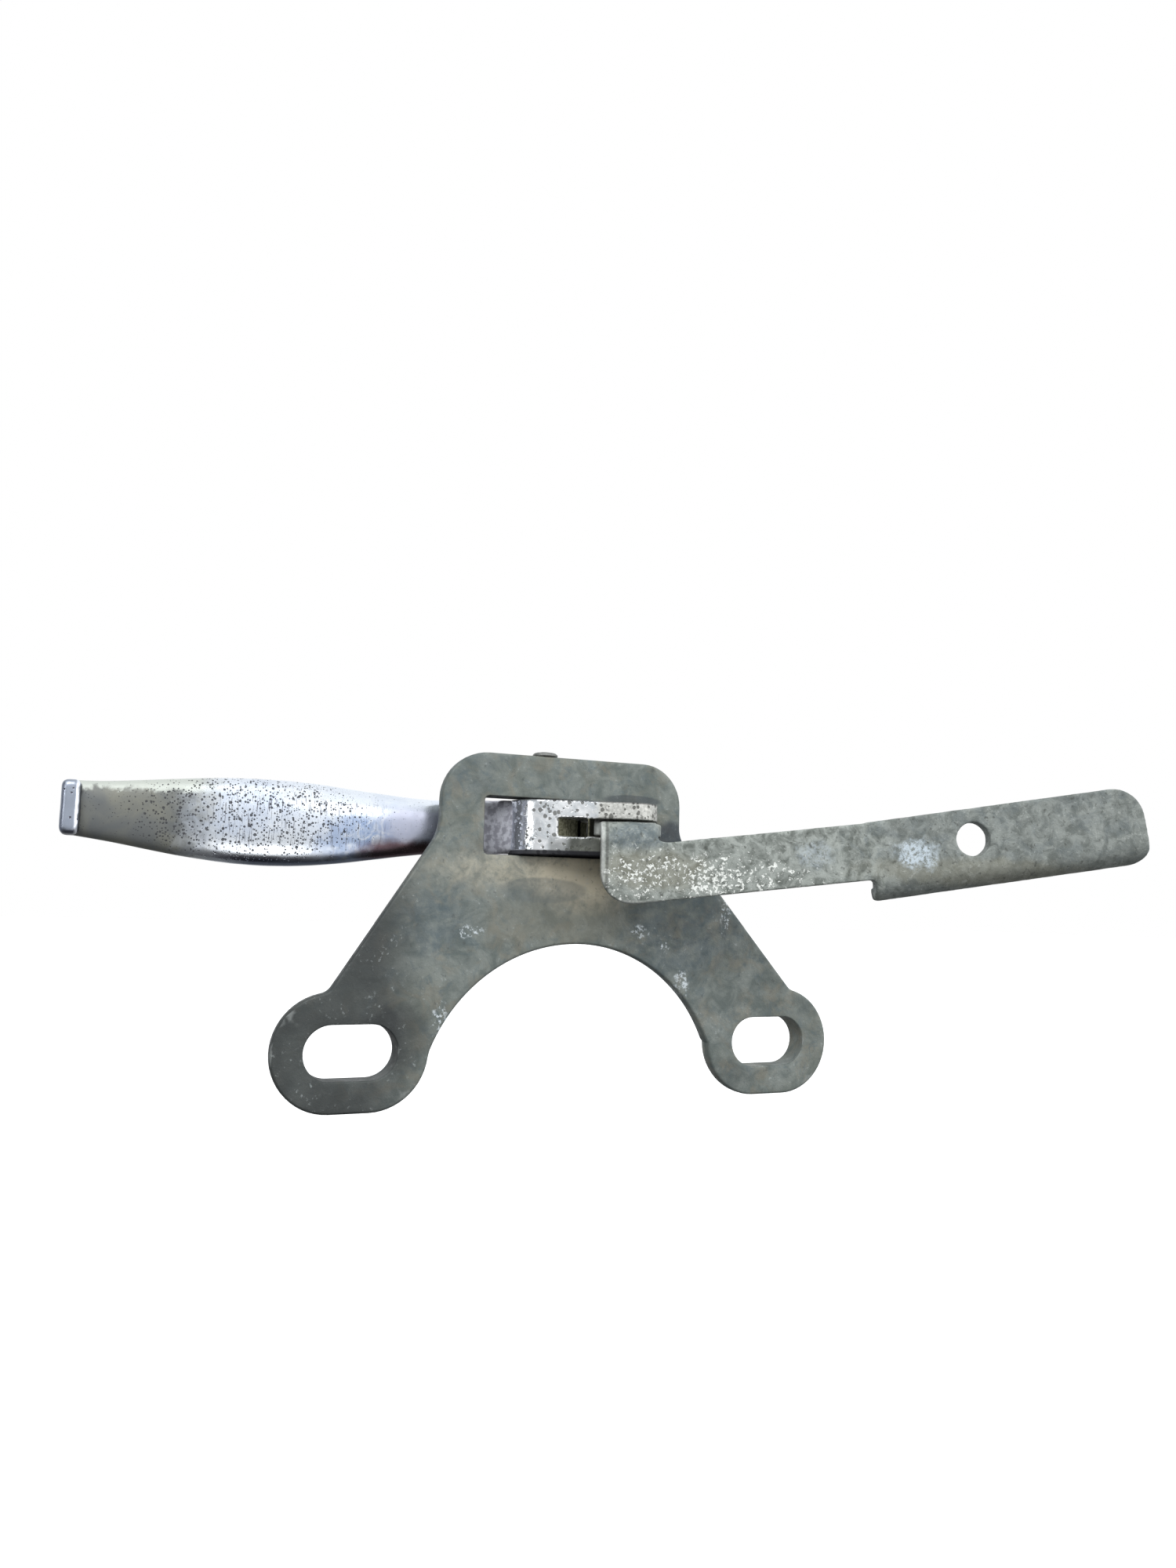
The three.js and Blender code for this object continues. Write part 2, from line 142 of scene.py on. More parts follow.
def cut(obj, cutter):
    """Takes the cutter's volume out of the object."""
    change = obj.modifiers.new("cut", "BOOLEAN")
    change.operation = "DIFFERENCE"
    change.solver = "EXACT"
    change.object = cutter
    applied(obj)
    bpy.data.objects.remove(cutter)


def fine_skin(obj, voxel, rounds):
    """Remeshes evenly, then smooths so that every edge gets a small worn radius."""
    change = obj.modifiers.new("skin", "REMESH")
    change.mode = "VOXEL"
    change.voxel_size = voxel * MM
    applied(obj)
    bm = bmesh.new()
    bm.from_mesh(obj.data)
    for _ in range(rounds):
        bmesh.ops.smooth_vert(bm, verts=bm.verts, factor=0.5,
                              use_axis_x=True, use_axis_y=True, use_axis_z=True)
    bm.to_mesh(obj.data)
    bm.free()
    obj.data.shade_smooth()


def roughen(obj, layers, where=None):
    """Sinks the surface by soft noise. Each layer is (depth, size of a lump), in millimetres."""
    mesh = obj.data
    moved = []
    for v in mesh.vertices:
        place = v.co / MM
        share = 1 if where is None else where(place)
        sink = 0
        for depth, size in layers:
            sink += depth * (0.5 + 0.5 * noise.noise(place / size))
        moved.append(v.co - v.normal * sink * share * MM)
    for v, place in zip(mesh.vertices, moved):
        v.co = place
    mesh.update()


def skin_rings(bm, rings, closed_ends=True):
    """Joins rings of equal count into a tube and caps its ends."""
    made = [[bm.verts.new(p) for p in ring] for ring in rings]
    count = len(made[0])
    for low, high in zip(made, made[1:]):
        for k in range(count):
            after = (k + 1) % count
            bm.faces.new((low[k], low[after], high[after], high[k]))
    if closed_ends:
        bm.faces.new(made[0][::-1])
        bm.faces.new(made[-1])
    return made


def prism(name, outline, low, high):
    """An upright prism of an X-Y outline."""
    bm = bmesh.new()
    skin_rings(bm, [[(x, y, z) for x, y in outline] for z in (low, high)])
    return to_object(name, bm, 180)


def disc(x, y, radius, count=96):
    turns = [2 * math.pi * k / count for k in range(count)]
    return [(x + radius * math.cos(t), y + radius * math.sin(t)) for t in turns]


def lathe(name, place, profile, count=48):
    """Turns a profile of (radius, height) points about an upright axis at place."""
    bm = bmesh.new()
    rings = []
    for radius, height in profile:
        rings.append([(x, y, height) for x, y in disc(place[0], place[1], radius, count)])
    skin_rings(bm, rings)
    return to_object(name, bm, 60)


# ---- mounting plate ----
def edge_loops(bm, depth):
    """Closed loops of sharp edges lying in the plane y = depth, as lists of (x, z)."""
    flat = [e for e in bm.edges
            if all(abs(v.co.y - depth) < 0.01 for v in e.verts)
            and sum(abs(f.normal.y) > 0.9 for f in e.link_faces) == 1]
    beside = {}
    for e in flat:
        a, b = e.verts
        beside.setdefault(a, []).append(b)
        beside.setdefault(b, []).append(a)
    loops = []
    left = set(beside)
    while left:
        start = min(left, key=lambda v: (v.co.x, v.co.z))
        loop = [start]
        left.discard(start)
        here = start
        while True:
            ahead = [v for v in beside[here] if v in left]
            if not ahead:
                break
            here = ahead[0]
            left.discard(here)
            loop.append(here)
        loops.append(thinned([Vector((v.co.x, v.co.z)) for v in loop]))
    return loops


def thinned(loop, closest=0.3):
    """Drops points that crowd the one before them."""
    kept = loop[:1]
    for point in loop[1:]:
        if (point - kept[-1]).length > closest and (point - kept[0]).length > closest:
            kept.append(point)
    return kept


def signed_area(loop):
    return sum(a.x * b.y - b.x * a.y for a, b in zip(loop, loop[1:] + loop[:1])) / 2


def inset(loop, distance):
    """Moves each point of an anticlockwise loop to its left by the distance."""
    result = []
    for before, here, after in zip(loop[-1:] + loop[:-1], loop, loop[1:] + loop[:1]):
        one = (here - before).normalized()
        two = (after - here).normalized()
        lean = Vector((-one.y - two.y, one.x + two.x)).normalized()
        spread = max(0.5, lean.dot(Vector((-one.y, one.x))))
        result.append(here + lean * distance / spread)
    return result


def edge_profile(front, back_in, back_deep):
    """(depth, inset) points from the front face, round both edges, to the rear face."""
    steps = 5
    front_strip = 0.7
    rear_strip = 0.5
    points = [(0, front + front_strip)]
    for k in range(steps + 1):
        turn = k / steps * math.pi / 2
        points.append((front * (1 - math.cos(turn)), front * (1 - math.sin(turn))))
    for k in range(2 * steps + 1):
        turn = k / (2 * steps) * math.pi / 2
        depth = PLATE_THICKNESS - back_deep * (1 - math.sin(turn))
        points.append((depth, back_in * (1 - math.cos(turn))))
    points.append((PLATE_THICKNESS, back_in + rear_strip))
    return points


def plate_piece():
    """The plate, its front edges crisp and its outer rear edges rolled over by the punch."""
    source = bmesh.new()
    source.from_mesh(nodes["mounting_plate"].data)
    bmesh.ops.scale(source, vec=(1 / MM,) * 3, verts=source.verts)
    bmesh.ops.remove_doubles(source, verts=source.verts, dist=0.002)
    loops = edge_loops(source, -PLATE_THICKNESS)
    source.free()
    outer = max(loops, key=lambda loop: abs(signed_area(loop)))
    bm = bmesh.new()
    fronts = []
    backs = []
    for loop in loops:
        is_outer = loop is outer
        anticlockwise = signed_area(loop) > 0
        if anticlockwise != is_outer:
            loop = loop[::-1]
        if is_outer:
            profile = edge_profile(front=0.5, back_in=2.9, back_deep=3.3)
        else:
            profile = edge_profile(front=0.28, back_in=0.4, back_deep=0.4)
        rings = []
        for depth, distance in profile:
            ring = inset(loop, distance)
            rings.append([(p.x, depth - PLATE_THICKNESS, p.y) for p in ring])
        made = skin_rings(bm, rings, closed_ends=False)
        count = len(loop)
        fronts += [bm.edges.get((made[0][k], made[0][(k + 1) % count])) for k in range(count)]
        backs += [bm.edges.get((made[-1][k], made[-1][(k + 1) % count])) for k in range(count)]
    bmesh.ops.triangle_fill(bm, edges=fronts, use_beauty=True)
    bmesh.ops.triangle_fill(bm, edges=backs, use_beauty=True)
    return to_object("plate_body", bm, 30)


# ---- hand lever ----
def share_of(value, low, high):
    """How far the value is from low to high, held between 0 and 1."""
    return min(max((value - low) / (high - low), 0), 1)


def smooth_step(value, low, high):
    t = share_of(value, low, high)
    return t * t * (3 - 2 * t)


def blend(low, high, share):
    return low + (high - low) * share


def power(value, exponent):
    """The size of the value raised to the exponent, with the value's own sign."""
    return math.copysign(abs(value) ** exponent, value)


def handle_ring(reach, count):
    """One section of the handle: nearly flat in front, bulging behind, with round rims."""
    span = share_of(reach, NECK_REACH, HANDLE_LENGTH)
    swell = math.sin(math.pi * span) ** SWELL_SHARPNESS
    lead = smooth_step(reach, KNUCKLE_RADIUS / 2, ROOT_END)
    bulge = BELLY_HALF_HEIGHT - (NECK_HALF_HEIGHT + TIP_HALF_HEIGHT) / 2
    half_height = blend(NECK_HALF_HEIGHT, TIP_HALF_HEIGHT, span) + bulge * swell
    half_height += DENT_SPARE * smooth_step(reach, DENT_FADE, DENT_FULL)
    fullness = BELLY_THICKNESS - (NECK_THICKNESS + TIP_THICKNESS) / 2
    rest = blend(NECK_THICKNESS, TIP_THICKNESS, span) + fullness * swell
    thick = blend(ROOT_THICKNESS, rest, lead)
    middle = blend(PIVOT[1] + ROOT_FORWARD, HANDLE_GAP + rest / 2, lead)
    beyond = share_of(reach, WEB_REACH, HANDLE_LENGTH)
    height = LEVER_MID - HANDLE_SAG * math.sin(math.pi * beyond) ** SAG_FLATNESS
    square = smooth_step(reach, NECK_REACH, SQUARE_REACH)
    front_power = blend(GRIP_FRONT_POWER, NECK_FRONT_POWER, square)
    rim_power = blend(GRIP_RIM_POWER, NECK_RIM_POWER, square)
    ring = []
    for k in range(count):
        turn = 2 * math.pi * k / count
        c = math.cos(turn)
        s = math.sin(turn)
        forward = power(c, front_power if c < 0 else REAR_POWER)
        ring.append((PIVOT[0] - reach, middle + thick / 2 * forward,
                     height + half_height * power(s, rim_power)))
    return ring


def handle_piece():
    """The neck and the grip, the neck deeply dented."""
    bm = bmesh.new()
    along = 260
    around = 112
    last = HANDLE_LENGTH - TIP_OVERLAP
    rings = [handle_ring(blend(ROOT_REACH, last, k / along), around) for k in range(along + 1)]
    skin_rings(bm, rings)
    obj = to_object("lever_handle", bm, 180)

    def neck(place):
        return smooth_step(place.x, DENTS_FROM, DENTS_FULL)

    roughen(obj, [(0.10, 9), (0.03, 2.5)])
    roughen(obj, [(0.25, 2.3), (0.1, 1.0)], neck)
    return obj


def tip_piece():
    """The lip across the handle's tip: a squarish bar with a rough raised inner rim."""
    tip = PIVOT[0] - HANDLE_LENGTH
    middle = LEVER_MID - LIP_DROP
    low = (tip, HANDLE_GAP - LIP_FORWARD, middle - TIP_HALF_HEIGHT)
    high = (tip + LIP_WIDTH, HANDLE_GAP + TIP_THICKNESS, middle + TIP_HALF_HEIGHT)
    bm = bmesh.new()
    corners = [(low[0], low[1]), (high[0], low[1]), (high[0], high[1]), (low[0], high[1])]
    skin_rings(bm, [[(x, y, z) for x, y in corners] for z in (low[2], high[2])])
    bmesh.ops.bevel(bm, geom=bm.edges[:], offset=LIP_BEVEL, segments=6, profile=0.5, affect="EDGES")
    bmesh.ops.subdivide_edges(bm, edges=bm.edges[:], cuts=2, use_grid_fill=True)
    obj = to_object("lever_tip", bm, 180)
    fine_skin(obj, voxel=0.16, rounds=5)

    def inner_rim(place):
        return smooth_step(place.x, tip + LIP_WIDTH - LIP_RIM, tip + LIP_WIDTH)

    roughen(obj, [(0.08, 2.5)])
    roughen(obj, [(0.35, 1.1)], inner_rim)
    return obj


def fork_outline():
    """Plan of the fork bar: discs at the pivot and the link pin, joined by tangents."""
    start = Vector(PIVOT)
    end = Vector(LINK_PIN)
    heading = math.atan2(end.y - start.y, end.x - start.x)
    lean = math.acos((KNUCKLE_RADIUS - NOSE_RADIUS) / (end - start).length)
    last = heading - lean + 2 * math.pi
    count = 48
    points = []
    for centre, radius, first, final in ((end, NOSE_RADIUS, heading - lean, heading + lean),
                                         (start, KNUCKLE_RADIUS, heading + lean, last)):
        for k in range(count + 1):
            turn = blend(first, final, k / count)
            points.append((centre.x + radius * math.cos(turn), centre.y + radius * math.sin(turn)))
    return points


def fork_piece():
    """The knuckle and both prongs, with the tongue's slot and the two bores."""
    obj = prism("lever_fork", fork_outline(), FORK_LOW, LEVER_HIGH)
    slot = (LEVER_MID - SLOT_HALF, LEVER_MID + SLOT_HALF)
    cut(obj, prism("pocket", disc(*LINK_PIN, POCKET_RADIUS), *slot))
    front = PIVOT[1] - KNUCKLE_RADIUS - RUN_OUT_SPARE
    meet = (LINK_PIN[0] - POCKET_RADIUS * math.cos(RUN_OUT),
            LINK_PIN[1] + POCKET_RADIUS * math.sin(RUN_OUT))
    wedge = [(PIVOT[0] - RUN_OUT_LEAD, front), (LINK_PIN[0] + NOSE_RADIUS, front), LINK_PIN, meet]
    cut(obj, prism("run_out", wedge, *slot))
    bore = PIN_RADIUS + PIN_CLEARANCE
    for place in (PIVOT, LINK_PIN):
        cut(obj, prism("bore", disc(*place, bore, 48), LEVER_LOW - 1, LEVER_HIGH + 1))
    fine_skin(obj, voxel=0.2, rounds=4)
    roughen(obj, [(0.05, 3), (0.05, 0.8)])
    return obj


# ---- draw link ----
def link_piece():
    """The stamped link with a longer tongue and the soft, lumpy skin of corroded pressed steel."""
    mesh = nodes["draw_link"].data.copy()
    obj = bpy.data.objects.new("link_body", mesh)
    bpy.context.scene.collection.objects.link(obj)
    pin = Vector((*LINK_PIN, 0)) * MM
    swing = Matrix.Translation(pin) @ Matrix.Rotation(-LINK_REST, 4, "Z") @ Matrix.Translation(-pin)
    mesh.transform(swing.inverted())
    outline = disc(LINK_PIN[0] - TONGUE_SHIFT, LINK_PIN[1], TONGUE_RADIUS)
    tongue = prism("tongue", outline, LEVER_MID - TONGUE_HALF, LEVER_MID + TONGUE_HALF)
    bore = PIN_RADIUS + LINK_CLEARANCE
    cut(tongue, prism("bore", disc(*LINK_PIN, bore, 48), LEVER_LOW, LEVER_HIGH))
    bm = bmesh.new()
    bm.from_mesh(mesh)
    bm.from_mesh(tongue.data)
    bm.to_mesh(mesh)
    bm.free()
    bpy.data.objects.remove(tongue)
    fine_skin(obj, voxel=0.25, rounds=6)
    obj.data.transform(swing)
    roughen(obj, [(0.07, 3.5), (0.05, 0.9)])
    return obj


# ---- pins ----
def pivot_piece():
    """Upright pin with a low, slightly mushroomed head on the block's top edge."""
    seat = BLOCK_TOP + HEAD_SEAT_GAP
    low = WINDOW_BOTTOM - PIVOT_DEPTH
    chamfer = 0.3
    shank = [(0.05, low), (PIN_RADIUS - chamfer, low), (PIN_RADIUS, low + chamfer), (PIN_RADIUS, seat)]
    head = [(2.05, 0.0), (2.24, 0.1), (2.3, 0.3), (2.24, 0.5),
            (2.0, 0.72), (1.55, 0.88), (1.0, 0.96), (0.05, 0.99)]
    profile = shank + [(radius, seat + height) for radius, height in head]
    obj = lathe("pivot_rivet", PIVOT, profile, 64)
    roughen(obj, [(0.1, 1.3)])
    return obj


def link_pin_piece():
    """Headless pin with worn, slightly dished ends."""
    low = LEVER_LOW + LINK_PIN_INSET
    high = LEVER_HIGH - LINK_PIN_INSET
    end = [(0.05, 0.22), (0.7, 0.16), (1.0, 0.03), (1.2, 0.0), (1.4, 0.08), (PIN_RADIUS, 0.25)]
    profile = [(r, low + h) for r, h in end] + [(r, high - h) for r, h in reversed(end)]
    return lathe("link_rivet", LINK_PIN, profile)


# ---- materials ----
class Surface:
    """A principled material whose patterns are placed in millimetres on the object."""

    def __init__(self, name, metallic):
        self.material = bpy.data.materials.new(name)
        self.material.use_nodes = True
        self.tree = self.material.node_tree
        self.shader = self.tree.nodes["Principled BSDF"]
        self.shader.inputs["Metallic"].default_value = metallic
        where = self.tree.nodes.new("ShaderNodeTexCoord").outputs["Object"]
        scale = self.tree.nodes.new("ShaderNodeVectorMath")
        scale.operation = "SCALE"
        scale.inputs["Scale"].default_value = 1 / MM
        self.tree.links.new(where, scale.inputs[0])
        self.place = scale.outputs["Vector"]
        split = self.tree.nodes.new("ShaderNodeSeparateXYZ")
        self.tree.links.new(self.place, split.inputs[0])
        self.x, self.y, self.z = split.outputs

    def put(self, socket, value):
        if isinstance(value, (int, float)):
            socket.default_value = value
        elif isinstance(value, tuple):
            opaque = len(value) == 3 and len(socket.default_value) == 4
            socket.default_value = (*value, 1) if opaque else value
        else:
            self.tree.links.new(value, socket)

    def math(self, operation, one, two=0.0, clamp=False):
        node = self.tree.nodes.new("ShaderNodeMath")
        node.operation = operation
        node.use_clamp = clamp
        self.put(node.inputs[0], one)
        self.put(node.inputs[1], two)
        return node.outputs[0]

    def along_link(self):
        """Distance along the link from its pin."""
        right = self.times(self.math("SUBTRACT", self.x, LINK_PIN[0]), math.cos(LINK_REST))
        back = self.times(self.math("SUBTRACT", self.y, LINK_PIN[1]), -math.sin(LINK_REST))
        return self.add(right, back)

    def add(self, one, two):
        return self.math("ADD", one, two)

    def times(self, one, two):
        return self.math("MULTIPLY", one, two)

    def step(self, value, low, high, top=1.0, bottom=0.0):
        """Runs smoothly from bottom at low to top at high."""
        node = self.tree.nodes.new("ShaderNodeMapRange")
        node.interpolation_type = "SMOOTHSTEP"
        self.put(node.inputs["Value"], value)
        node.inputs["From Min"].default_value = low
        node.inputs["From Max"].default_value = high
        node.inputs["To Min"].default_value = bottom
        node.inputs["To Max"].default_value = top
        return node.outputs["Result"]

    def stretched(self, x, y, z):
        node = self.tree.nodes.new("ShaderNodeVectorMath")
        node.operation = "MULTIPLY"
        self.tree.links.new(self.place, node.inputs[0])
        node.inputs[1].default_value = (x, y, z)
        return node.outputs["Vector"]

    def scaled_vector(self, vector, factor):
        node = self.tree.nodes.new("ShaderNodeVectorMath")
        node.operation = "SCALE"
        self.tree.links.new(vector, node.inputs[0])
        node.inputs["Scale"].default_value = factor
        return node.outputs["Vector"]

    def noise(self, size, detail=3.0, rough=0.55, place=None, bend=0.0):
        """Noise from 0 to 1 whose lumps are about size millimetres across."""
        node = self.tree.nodes.new("ShaderNodeTexNoise")
        self.tree.links.new(place or self.place, node.inputs["Vector"])
        node.inputs["Scale"].default_value = 1 / size
        node.inputs["Detail"].default_value = detail
        node.inputs["Roughness"].default_value = rough
        node.inputs["Distortion"].default_value = bend
        return node.outputs["Fac"]

    def cells(self, size, output="Distance", place=None):
        """Round cells about size millimetres across."""
        node = self.tree.nodes.new("ShaderNodeTexVoronoi")
        self.tree.links.new(place or self.place, node.inputs["Vector"])
        node.inputs["Scale"].default_value = 1 / size
        return node.outputs[output]

    def mix(self, share, one, two):
        """Two colours blended. Sockets 6, 7 and 2 are the node's colour ones."""
        node = self.tree.nodes.new("ShaderNodeMix")
        node.data_type = "RGBA"
        self.put(node.inputs[0], share)
        self.put(node.inputs[6], one)
        self.put(node.inputs[7], two)
        return node.outputs[2]

    def blob(self, x, z, wide, tall, edge=0.7, ragged=0.5, strength=1.0, size=2.5, along=None):
        """Strength inside a ragged oval about (x, z), fading to nothing outside it."""
        across = self.math("DIVIDE", self.math("SUBTRACT", along or self.x, x), wide)
        up = self.math("DIVIDE", self.math("SUBTRACT", self.z, z), tall)
        far = self.math("SQRT", self.add(self.times(across, across), self.times(up, up)))
        far = self.add(far, self.times(self.math("SUBTRACT", self.noise(size, 4), 0.5), ragged * 2))
        return self.step(far, 1 + edge / 2, 1 - edge / 2, strength)

    def worn_edges(self, low=0.53, high=0.62):
        """1 in ragged patches along the outward edges, 0 elsewhere."""
        geometry = self.tree.nodes.new("ShaderNodeNewGeometry")
        edge = self.step(geometry.outputs["Pointiness"], low, high)
        return self.times(edge, self.step(self.noise(1.6, 4), 0.35, 0.6))

    def bump(self, height, depth):
        """Shades the height as relief; a height of 1 stands depth millimetres above 0."""
        node = self.tree.nodes.new("ShaderNodeBump")
        node.inputs["Strength"].default_value = 1.0
        node.inputs["Distance"].default_value = depth * MM
        self.tree.links.new(height, node.inputs["Height"])
        self.tree.links.new(node.outputs["Normal"], self.shader.inputs["Normal"])

    def finish(self, colour, rough):
        self.tree.links.new(colour, self.shader.inputs["Base Color"])
        self.tree.links.new(rough, self.shader.inputs["Roughness"])
        return self.material


def plate_zinc():
    """Dull plating gone grey green, with dark patches, a tan stain under the window and white scuffs.
    Painted shade darkens the left ear and the window's inner walls, and painted shadows of the fork's
    prong and the link lie on the face.
    """
    s = Surface("plate_zinc", 0.3)
    broad = s.noise(14, 3, 0.5, bend=0.6)
    patch = s.noise(3.4, 6, 0.62, bend=0.5)
    grain = s.noise(0.75, 4, 0.65)
    fine = s.noise(0.22, 2)
    colour = s.mix(s.step(patch, 0.32, 0.68), (0.105, 0.125, 0.118), (0.185, 0.205, 0.19))
    colour = s.mix(s.step(broad, 0.4, 0.7, 0.5), colour, (0.135, 0.145, 0.12))
    warm = s.step(s.noise(4.5, 5, 0.6, bend=0.8), 0.48, 0.68, 0.5)
    colour = s.mix(warm, colour, (0.19, 0.175, 0.135))
    cold = s.step(s.noise(2.6, 5, 0.6, bend=0.8), 0.52, 0.68, 0.5)
    colour = s.mix(cold, colour, (0.085, 0.115, 0.125))
    blue = s.add(s.blob(21, -4, 12, 9, strength=0.5), s.blob(-27, -4, 6, 5, strength=0.5))
    blue = s.add(blue, s.blob(-20, 23, 6, 5, strength=0.3))
    blue = s.times(blue, s.step(s.noise(2.4, 5), 0.3, 0.62))
    colour = s.mix(blue, colour, (0.055, 0.082, 0.10))
    # Painted shade: darker towards the left ear, plus a few dark patches low on the ears.
    ear_shade_and_dirt = s.add(s.step(s.x, -25, -37, 0.92), s.blob(-31, -23, 6, 5, strength=0.4))
    ear_shade_and_dirt = s.add(ear_shade_and_dirt, s.blob(30, -31, 6, 3, strength=0.25))
    ear_shade_and_dirt = s.times(ear_shade_and_dirt, s.step(broad, 0.2, 0.6, 1.0, 0.75))
    colour = s.mix(ear_shade_and_dirt, colour, (0.032, 0.036, 0.036))
    tan = s.add(s.blob(-6, 5.4, 18, 3.2, edge=1.2, strength=0.6),
                s.blob(1.5, 4.2, 8, 5, edge=1.2, strength=0.95))
    worn = s.times(s.step(grain, 0.28, 0.6, 1.0, 0.55), s.step(patch, 0.3, 0.55, 1.0, 0.55))
    tan = s.times(tan, worn)
    colour = s.mix(tan, colour, (0.46, 0.42, 0.32))
    colour = s.mix(s.blob(-3, -3, 14, 4, strength=0.4), colour, (0.16, 0.155, 0.12))
    ghost = s.blob(-6.8, 2.1, 8.2, 2.2, edge=0.22, ragged=0.10, strength=0.5)
    colour = s.mix(ghost, colour, (0.115, 0.13, 0.125))
    # Painted shadow of the fork's top prong: a dark oval on the plate above the window.
    lens = s.blob(10.2, 18.9, 5.6, 0.95, edge=0.3, ragged=0.06, strength=0.75)
    colour = s.mix(lens, colour, (0.06, 0.07, 0.075))
    # Painted shadow cast by the link on the plate, right of its leg.
    link_shadow = s.blob(18.6, 12.6, 3.4, 2.9, edge=0.6, ragged=0.2, strength=0.8)
    colour = s.mix(link_shadow, colour, (0.03, 0.038, 0.05))
    specks = s.times(s.step(grain, 0.60, 0.70), s.step(patch, 0.45, 0.62, 0.5))
    colour = s.mix(specks, colour, (0.34, 0.37, 0.37))
    dark = s.times(s.step(s.noise(1.1, 4), 0.62, 0.74), 0.5)
    colour = s.mix(dark, colour, (0.06, 0.068, 0.066))
    scuffs = s.blob(-20, -5.2, 2.4, 1.0, ragged=1.1, size=1.0)
    for x, z, wide, tall in ((-24.8, -19.8, 1.2, 2.4), (20.6, -14.2, 1.4, 2.2), (11.9, -5.0, 1.6, 1.2),
                             (29.8, -2.0, 1.0, 3.4), (17.0, -7.5, 1.0, 1.4)):
        scuffs = s.add(scuffs, s.blob(x, z, wide, tall, ragged=1.1, size=1.0))
    scuffs = s.times(s.math("MINIMUM", scuffs, 1.0), s.step(grain, 0.5, 0.62, 0.85))
    colour = s.mix(scuffs, colour, (0.58, 0.63, 0.66))
    colour = s.mix(s.times(s.worn_edges(), 0.4), colour, (0.34, 0.36, 0.35))
    # Painted shade: the window's inner walls are darkened.
    level = s.math("ABSOLUTE", s.math("SUBTRACT", s.z, LEVER_MID))
    upright = s.step(level, WINDOW_HALF_HEIGHT + 0.55, WINDOW_HALF_HEIGHT + 0.3)
    across = s.math("ABSOLUTE", s.math("SUBTRACT", s.x, WINDOW_MIDDLE))
    sideways = s.step(across, WINDOW_HALF_WIDTH + 1.0, WINDOW_HALF_WIDTH + 0.5)
    inner = s.times(s.times(upright, sideways), s.step(s.y, -4.74, -4.6, 0.85))
    colour = s.mix(inner, colour, (0.03, 0.032, 0.03))
    rough = s.step(patch, 0.3, 0.7, 0.5, 0.72)
    height = s.add(s.times(grain, 0.6), s.add(s.times(fine, 0.25), s.times(patch, 0.8)))
    s.bump(height, 0.10)
    return s.finish(colour, rough)


